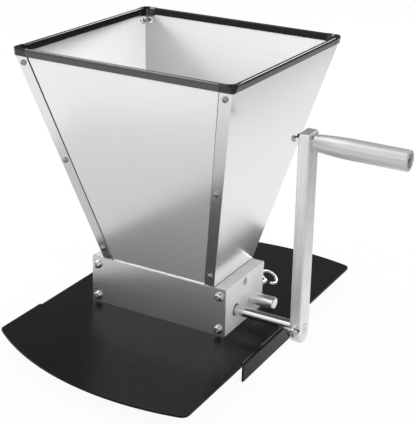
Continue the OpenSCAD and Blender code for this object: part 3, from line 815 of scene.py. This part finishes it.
def trim_section():
    """Section of the rim trim: x across the sheet and out, y up it, 0 at the rim's edge."""
    half = TRIM_W / 2
    low = TRIM_OVER - TRIM_H
    slot = SHEET_T / 2 + TRIM_SLOT_CLEAR
    crown_y = TRIM_OVER - CROWN_R
    shoulder_x = half - SHOULDER_R
    shoulder_y = crown_y + (CROWN_R - SHOULDER_R) * math.cos(math.radians(CROWN_TURN))
    foot_x = half - TRIM_FOOT_R
    foot_y = low + TRIM_FOOT_R
    right = arc_points(shoulder_x, shoulder_y, SHOULDER_R, 0, 90 - CROWN_TURN, 7)
    crown = arc_points(0, crown_y, CROWN_R, 90 - CROWN_TURN, 90 + CROWN_TURN, 10)
    left = arc_points(-shoulder_x, shoulder_y, SHOULDER_R, 90 + CROWN_TURN, 180, 7)
    foot_left = arc_points(-foot_x, foot_y, TRIM_FOOT_R, 180, 270, 3)
    foot_right = arc_points(foot_x, foot_y, TRIM_FOOT_R, 270, 360, 3)
    sheet_slot = [(-slot, low), (-slot, 0), (slot, 0), (slot, low)]
    return right + crown[1:-1] + left + foot_left + sheet_slot + foot_right


def rim_trim(side, turns, foot, painted_light_copy):
    """Trim along the rim of one side, between the corner caps.

    turns counts the quarter turns from the front, and foot is how far out the side's sheet starts."""
    name = f"trim_{side}"
    low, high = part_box(name)
    reach = max(high.x - low.x, high.y - low.y) / 2
    tilt = math.atan((MOUTH_HALF - foot) / HOPPER_H)
    slant = HOPPER_H / math.cos(tilt)
    on_sheet = (
        Matrix.Rotation(math.radians(90 * turns), 4, "Z")
        @ Matrix.Translation((0, -foot * MM, BOX_TOP * MM))
        @ Matrix.Rotation(math.radians(90) + tilt, 4, "X")
    )
    work = bmesh.new()
    ends = []
    for x in (-reach, reach):
        points = [Vector((x, (slant + up) * MM, (out - SHEET_T / 2) * MM)) for out, up in trim_section()]
        ends.append([work.verts.new(on_sheet @ point) for point in points])
    capped(work, ends)
    bmesh.ops.recalc_face_normals(work, faces=work.faces)
    stand_for(shape_of(name, work), name, angle=40, painted_light_copy=painted_light_copy)


# The back and right trims take shaded copies of the trim black, which paint shade; the front and left keep
# the slot's own
TRIM_SHADED_COPY = {"back": DULL_SHADED_BLACK, "right": MILD_SHADED_BLACK}
for turns, side in enumerate(("front", "right", "back", "left")):
    foot = CHAMBER_HALF if side in ("right", "left") else BOX_HALF_D
    rim_trim(side, turns, foot, TRIM_SHADED_COPY.get(side))


# Rollers


def knurled_roller(node_name):
    """Roller with a cut diamond knurl between plain chamfered ends."""
    low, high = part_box(node_name)
    half = (high.x - low.x) / MM / 2
    crest_r = ROLLER_D / 2
    root_r = crest_r - KNURL_DEPTH
    rows = 2 * KNURL_ALONG
    row_gap = 2 * (half - KNURL_END) / rows
    work = bmesh.new()

    def ring(x, radius, offset=0.0):
        turns = full_turn(KNURL_AROUND, offset)
        return [work.verts.new((x * MM, *polar(radius, turn, 0)[:2])) for turn in turns]

    def row(k, radius, offset):
        return ring(KNURL_END - half + k * row_gap, radius, offset)

    # Every second row of roots and of crests is half a step round
    roots = [row(k, root_r, 0.5 * (k % 2)) for k in range(rows + 1)]
    for k in range(1, rows):
        odd = k % 2
        for i, crest in enumerate(row(k, crest_r, 0.5 * (1 - odd))):
            before, after = roots[k - 1][i], roots[k + 1][i]
            left, right = roots[k][i - odd], roots[k][(i + 1 - odd) % KNURL_AROUND]
            for first, second in ((before, right), (right, after), (after, left), (left, before)):
                work.faces.new((crest, first, second))

    bores = []
    for k, sign in ((0, -1), (rows, 1)):
        edge, inner = roots[k], roots[k - sign]
        for i in range(KNURL_AROUND):
            work.faces.new((edge[i], inner[i], edge[(i + 1) % KNURL_AROUND]))
        shoulder = ring(sign * (half - ROLLER_CHAMFER), root_r)
        face = ring(sign * half, root_r - ROLLER_CHAMFER)
        bore = ring(sign * half, ROLLER_BORE_D / 2)
        bridge_all(work, [edge, shoulder, face, bore])
        bores.append(bore)
    bridge_all(work, bores)
    bmesh.ops.recalc_face_normals(work, faces=work.faces)
    bmesh.ops.translate(work, verts=work.verts, vec=(low + high) / 2)
    stand_for(shape_of(node_name, work), node_name, lines="turned", angle=20)


knurled_roller("drive_roller")
knurled_roller("idler_roller")


# Shafts and grip


def span(node_name):
    """Length of a CAD node along X."""
    low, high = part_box(node_name)
    return (high.x - low.x) / MM


def turned_shape(node_name, work):
    """A piece along X from a bmesh that rises from 0 along Z, in the place of a CAD node's box."""
    low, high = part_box(node_name)
    left_end = Vector((low.x, (low.y + high.y) / 2, (low.z + high.z) / 2))
    turn = Matrix.Translation(left_end) @ Matrix.Rotation(math.pi / 2, 4, "Y")
    bmesh.ops.transform(work, matrix=turn, verts=work.verts)
    stand_for(shape_of(node_name, work), node_name, lines="turned")


def turned_piece(node_name, profile):
    """A turned piece from its profile; where that starts and ends at one point, the two rings are joined."""
    work = lathe(profile, steps=96)
    bmesh.ops.remove_doubles(work, verts=work.verts, dist=1e-7)
    bmesh.ops.recalc_face_normals(work, faces=work.faces)
    turned_shape(node_name, work)


def drive_shaft():
    """Drive shaft with chamfered ends and a centre drilling in each."""
    centre = [(0, CENTRE_DEPTH + CENTRE_TIP), (CENTRE_TIP_R, CENTRE_DEPTH), (CENTRE_R, 0)]
    rim = [(SHAFT_R - SHAFT_CHAMFER, 0), (SHAFT_R, SHAFT_CHAMFER)]
    turned_piece("drive_shaft", mirrored(centre + rim, span("drive_shaft")))


def idler_shaft():
    """Idler shaft, stepped down to its journals where the chamber ends."""
    length = span("idler_shaft")
    step = length / 2 - CHAMBER_HALF
    journal = [(0, 0), (JOURNAL_R - JOURNAL_CHAMFER, 0), (JOURNAL_R, JOURNAL_CHAMFER)]
    corner = [(JOURNAL_R, step - STEP_FILLET), (JOURNAL_R + STEP_FILLET, step)]
    rim = [(SHAFT_R - STEP_CHAMFER, step), (SHAFT_R, step + STEP_CHAMFER)]
    turned_piece("idler_shaft", mirrored(journal + corner + rim, length))


def grip():
    """Grip with a rounded rim round its hollow end, where the bolt's head sits."""
    length = span("grip")
    hole_start = (BOLT_HOLE_R, 0)
    profile = [hole_start, (NECK_R - NECK_ROUND - NECK_LAND, 0)]
    profile += arc_points(NECK_R - NECK_ROUND, NECK_ROUND, NECK_ROUND, -90, 0, 5)
    taper_start = NECK_ROUND + NECK_WALL
    for k in range(1, TAPER_STEPS + 1):
        share = k / TAPER_STEPS
        r = NECK_R + (FULL_R - NECK_R) * math.sin(math.pi / 2 * share)
        profile.append((r, taper_start + TAPER_SHARE * length * share))
    profile += arc_points(FULL_R - FULL_ROUND, length - FULL_ROUND, FULL_ROUND, 0, 90, 7)
    profile += arc_points(RECESS_R + RECESS_ROUND, length - RECESS_ROUND, RECESS_ROUND, 90, 180, 4)
    floor = length - RECESS_DEPTH
    profile += [(RECESS_R, floor), (BOLT_HOLE_R, floor), hole_start]
    turned_piece("grip", profile)


def grip_bolt():
    """Bolt through the grip: threaded past the arm's nut, with a socket head in the grip's hollow end."""
    length = span("grip_bolt")
    r = BOLT_D / 2
    seat = length - BOLT_HEAD_T
    shank_start = BOLT_THREAD_L - SHANK_INTO_THREAD
    shank_end = seat + SHANK_INTO_HEAD
    rod = threaded(BOLT_D, BOLT_THREAD_L, BOLT_PITCH, chamfer=BOLT_TIP, steps=36)
    shank = lathe([(0, shank_start), (r, shank_start), (r, shank_end), (0, shank_end)], steps=48)
    crown = arc_points(BOLT_HEAD_R - BOLT_HEAD_ROUND, length - BOLT_HEAD_ROUND, BOLT_HEAD_ROUND, 90, 0, 5)
    head = lathe([(0, length)] + crown + [(BOLT_HEAD_R, seat), (0, seat)], steps=64)
    socket = bmesh.new()
    bmesh.ops.create_cone(
        socket,
        cap_ends=True,
        segments=6,
        radius1=SOCKET_R * MM,
        radius2=SOCKET_MOUTH_R * MM,
        depth=2 * SOCKET_DEPTH * MM,
        matrix=Matrix.Translation((0, 0, length * MM)),
    )
    work = bmesh.new()
    for part in (rod, shank, cut(head, socket)):
        add_to(work, part)
        part.free()
    turned_shape("grip_bolt", work)


drive_shaft()
idler_shaft()
grip()
grip_bolt()


# Camera


def make_camera():
    """Camera at the photograph's viewing angle."""
    data = bpy.data.cameras.new("camera")
    data.sensor_fit = "VERTICAL"
    data.sensor_height = SENSOR
    data.sensor_width = SENSOR
    data.lens = LENS
    data.clip_start = 0.01
    data.clip_end = 100
    camera = new_object("camera", data)
    camera.matrix_world = (
        Matrix.Translation(CAMERA_AT)
        @ Matrix.Rotation(math.radians(CAMERA_TURN), 4, "Z")
        @ Matrix.Rotation(math.radians(CAMERA_TILT), 4, "X")
        @ Matrix.Rotation(math.radians(CAMERA_ROLL), 4, "Z")
    )
    bpy.context.scene.camera = camera


make_camera()


# Floor, reflector, world and lamps

# Floor: the share of its white that is glow, its colour in other light, and its half size
FLOOR_WHITE = 0.94
FLOOR_COLOUR = (0.9, 0.9, 0.9, 1)
FLOOR_HALF = 30.0
# Card that the metal sees: its corners, its height over the origin and its tone
REFLECTOR = ((-150, -48), (-10, -189), (-40, -270), (-240, -240), (-230, -80))
REFLECTOR_Z = 4.0
REFLECTOR_TONE = 0.62
# Sky that the metal sees to the front and to the back: sine of the height over the horizon, and tone
FRONT_SKY = ((0, 0.35), (0.05, 0.35), (0.16, 1.0), (0.45, 1.0), (0.65, 0.2), (1, 0.2))
BACK_SKY = ((0, 0.08), (0.33, 0.08), (0.39, 0.5), (0.45, 0.5), (0.52, 0.08), (1, 0.1))
# Softbox: the direction of its middle, the cosines between which it fades in, and its tone
SOFTBOX = Vector((-0.456, -0.19, 0.87)).normalized()
SOFTBOX_FADE = (0.972, 0.982)
SOFTBOX_TONE = 4.5
# Even grey for rays that are neither the camera's, gloss nor through glass
FILL_TONE = 0.82
# Lamps, all aimed at the mill: name, place, width, depth, and brightness of the face, where 1 is white
MILL_MIDDLE = Vector((0, 0, 0.13))
LAMPS = (
    ("key", (-0.87, 0.36, 1.6), 0.4, 0.6, 7.0),
    ("front_soft", (-0.55, -1.2, 1.35), 0.9, 0.8, 1.3),
    ("right_soft", (1.0, -0.95, 0.92), 0.6, 0.6, 2.0),
    ("rim_strip", (0.38, 1.5, 1.15), 0.5, 0.5, 8.0),
)


def light_path(tree, ray):
    """1 for rays of one kind, else 0."""
    return node(tree, "ShaderNodeLightPath").outputs[f"Is {ray} Ray"]


def seen_white(tree):
    """1 for rays from the camera, from gloss and through glass, else 0."""
    seen = maths(tree, "MAXIMUM", light_path(tree, "Camera"), light_path(tree, "Glossy"))
    return maths(tree, "MAXIMUM", seen, light_path(tree, "Transmission"))


def blend(tree, share, first, second):
    """Mix of two shaders."""
    made = node(tree, "ShaderNodeMixShader")
    tree.links.new(share, made.inputs["Fac"])
    tree.links.new(first, made.inputs[1])
    tree.links.new(second, made.inputs[2])
    return made.outputs[0]


def stage_mesh(name, corners, surface):
    """A flat face that is no part of the mill; surface(tree) gives its shader."""
    mesh = bpy.data.meshes.new(name)
    mesh.from_pydata(corners, [], [range(len(corners))])
    mat = bpy.data.materials.new(name)
    tree = emptied(mat)
    out = node(tree, "ShaderNodeOutputMaterial")
    tree.links.new(surface(tree), out.inputs["Surface"])
    mesh.materials.append(mat)
    new_object(name, mesh)


def floor_surface(tree):
    """White to the eye and pale to other light; gloss sees painted shade on it, grey near the board and to
    the far right.
    """
    place = node(tree, "ShaderNodeTexCoord").outputs["Object"]
    at = separated(tree, place)
    tone = node(tree, "ShaderNodeMix", data_type="FLOAT")
    to_front_left = along(tree, place, (-0.72, -0.7, 0))
    shade_near_board = spread(tree, to_front_left, low=0.52, high=1.0, start=0.13, end=0.29)
    shade_far_right = spread(tree, at["X"], low=1.0, high=0.2, start=0.26, end=0.4)
    to_back = spread(tree, at["Y"], low=0, high=1, start=-0.1, end=0.05)
    tree.links.new(shade_near_board, tone.inputs["A"])
    tree.links.new(shade_far_right, tone.inputs["B"])
    tree.links.new(to_back, tone.inputs["Factor"])
    glow = node(tree, "ShaderNodeEmission", {"Color": (1, 1, 1, 1)})
    strength = maths(tree, "MAXIMUM", tone.outputs["Result"], light_path(tree, "Camera"))
    tree.links.new(strength, glow.inputs["Strength"])
    pale = node(tree, "ShaderNodeBsdfDiffuse", {"Color": FLOOR_COLOUR})
    share = maths(tree, "MULTIPLY", seen_white(tree), FLOOR_WHITE)
    return blend(tree, share, pale.outputs[0], glow.outputs[0])


def reflector_surface(tree):
    """Pale from above to gloss alone, else clear."""
    facing = node(tree, "ShaderNodeNewGeometry")
    above = maths(tree, "SUBTRACT", 1.0, facing.outputs["Backfacing"])
    seen = maths(tree, "MULTIPLY", light_path(tree, "Glossy"), above)
    clear = node(tree, "ShaderNodeBsdfTransparent")
    glow = node(tree, "ShaderNodeEmission", {"Strength": REFLECTOR_TONE})
    return blend(tree, seen, clear.outputs[0], glow.outputs[0])


def make_stage():
    """Plain floor under the mill, and the card that trims the board's reflection in the hopper."""
    turns = ((-1, -1), (1, -1), (1, 1), (-1, 1))
    stage_mesh("floor", [(x * FLOOR_HALF, y * FLOOR_HALF, cad_low.z) for x, y in turns], floor_surface)
    card = [(x * MM, y * MM, REFLECTOR_Z * MM) for x, y in reversed(REFLECTOR)]
    stage_mesh("reflector", card, reflector_surface)


def sky_tone(tree, height, tones):
    """Grey by the height over the horizon, from pairs of height and tone."""
    ramp = node(tree, "ShaderNodeValToRGB")
    stops = ramp.color_ramp.elements
    for stop, tone in ((stops[0], tones[0][1]), (stops[-1], tones[-1][1])):
        stop.color = (tone, tone, tone, 1)
    for position, tone in tones[1:-1]:
        stops.new(position).color = (tone, tone, tone, 1)
    tree.links.new(height, ramp.inputs["Fac"])
    return ramp.outputs["Color"]


def gloss_world(tree):
    """What gloss sees: the front and back sky, dimmer to the right, and a softbox over the left."""
    direction = node(tree, "ShaderNodeTexCoord").outputs["Generated"]
    at = separated(tree, direction)
    sky = node(tree, "ShaderNodeMix", data_type="RGBA")
    tree.links.new(sky_tone(tree, at["Z"], FRONT_SKY), sky.inputs["A"])
    tree.links.new(sky_tone(tree, at["Z"], BACK_SKY), sky.inputs["B"])
    to_back = spread(tree, at["Y"], low=0, high=1, start=-0.3, end=0.3)
    tree.links.new(to_back, sky.inputs["Factor"])
    seen = node(tree, "ShaderNodeBackground")
    tree.links.new(sky.outputs["Result"], seen.inputs["Color"])
    to_right = spread(tree, at["X"], low=1.0, high=0.5, start=-0.15, end=0.2)
    tree.links.new(to_right, seen.inputs["Strength"])
    softbox = node(tree, "ShaderNodeBackground")
    overhead = spread(tree, along(tree, direction, SOFTBOX), 0, SOFTBOX_TONE, *SOFTBOX_FADE)
    tree.links.new(overhead, softbox.inputs["Strength"])
    both = node(tree, "ShaderNodeAddShader")
    tree.links.new(seen.outputs[0], both.inputs[0])
    tree.links.new(softbox.outputs[0], both.inputs[1])
    return both.outputs[0]


def make_world():
    """White to the eye, a sky and a softbox to gloss, and an even grey fill to all else."""
    world = bpy.data.worlds.new("studio")
    bpy.context.scene.world = world
    tree = emptied(world)
    fill = node(tree, "ShaderNodeBackground", {"Color": (1, 1, 1, 1), "Strength": FILL_TONE})
    white = node(tree, "ShaderNodeBackground", {"Color": (1, 1, 1, 1), "Strength": 1.0})
    lit = blend(tree, seen_white(tree), fill.outputs[0], gloss_world(tree))
    out = node(tree, "ShaderNodeOutputWorld")
    tree.links.new(blend(tree, light_path(tree, "Camera"), lit, white.outputs[0]), out.inputs["Surface"])


def area_lamp(name, at, width, depth, radiance):
    """Soft lamp aimed at the mill, that the camera doesn't see."""
    data = bpy.data.lights.new(name, "AREA")
    data.shape = "RECTANGLE"
    data.size = width
    data.size_y = depth
    data.energy = radiance * math.pi * width * depth
    lamp = new_object(name, data)
    lamp.location = at
    lamp.rotation_euler = (MILL_MIDDLE - Vector(at)).to_track_quat("-Z", "Y").to_euler()
    lamp.visible_camera = False


make_stage()
make_world()
for lamp in LAMPS:
    area_lamp(*lamp)

bpy.context.scene.view_settings.view_transform = "Standard"
